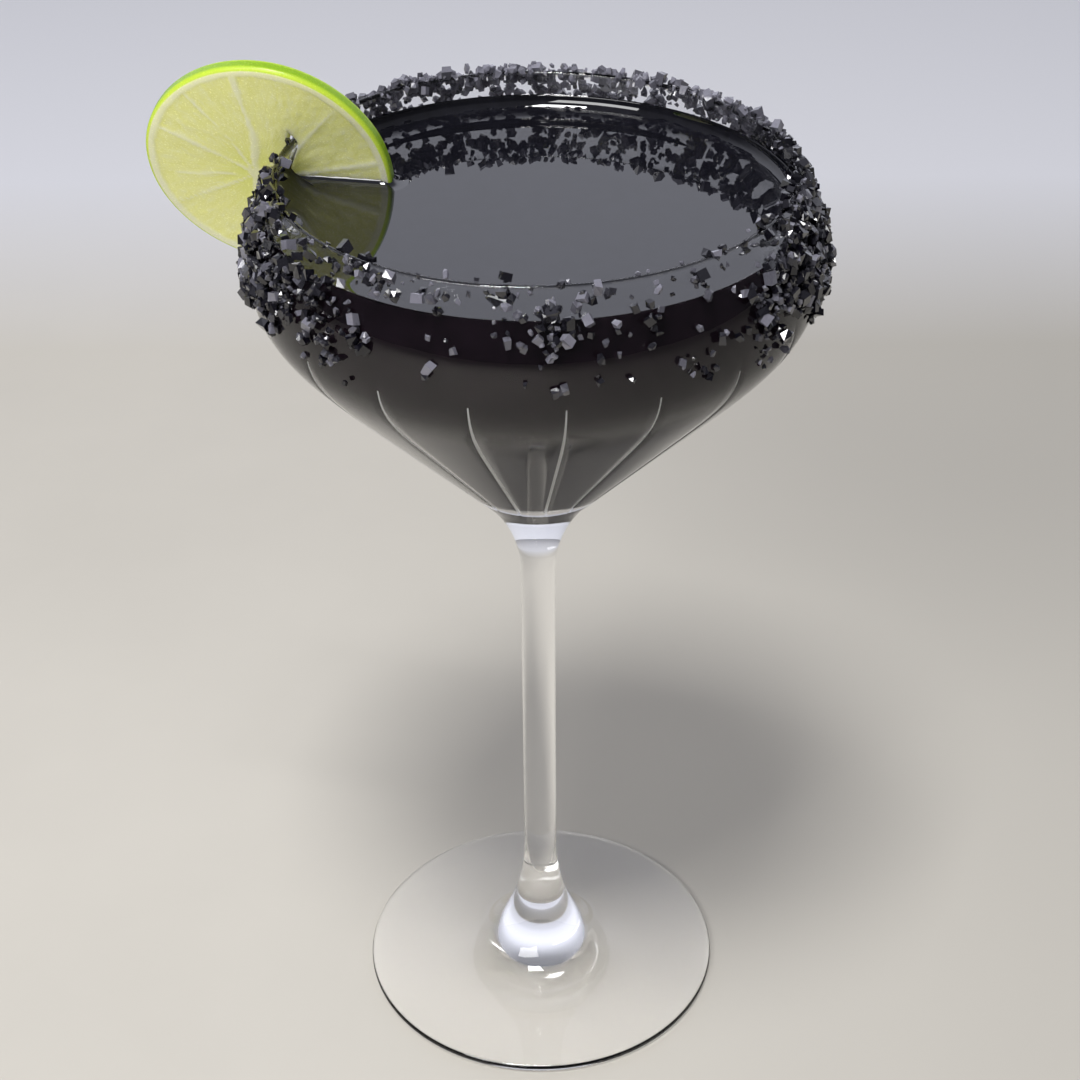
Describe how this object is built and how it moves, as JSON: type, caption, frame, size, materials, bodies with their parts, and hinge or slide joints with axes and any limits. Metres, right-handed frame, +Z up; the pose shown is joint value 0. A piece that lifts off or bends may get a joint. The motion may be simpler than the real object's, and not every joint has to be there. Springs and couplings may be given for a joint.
{
  "type": "margarita in a coupe glass",
  "caption": "Black cocktail in a stemmed coupe with fine cut lines, coarse black salt round the rim and a lime wheel slit onto it",
  "frame": {"origin": "middle of the foot's underside, on the table", "axes": "+Z up along the stem, -Y toward the front of the drink, lime wheel on the -X side"},
  "size_m": [0.1208, 0.0998, 0.1948],
  "materials": {
    "glass": "clear polished glass with fine matt cut lines",
    "drink": "opaque near-black liquid with a mirror-smooth surface",
    "lime": "wet yellow-green lime flesh with a pale pith and a green rind",
    "salt": "coarse glassy black salt crystals with bright facets"
  },
  "bodies": {
    "root": {"glass": "glass", "drink": "drink", "lime_wheel": "lime", "salt_rim": "salt"}
  },
  "joints": []
}
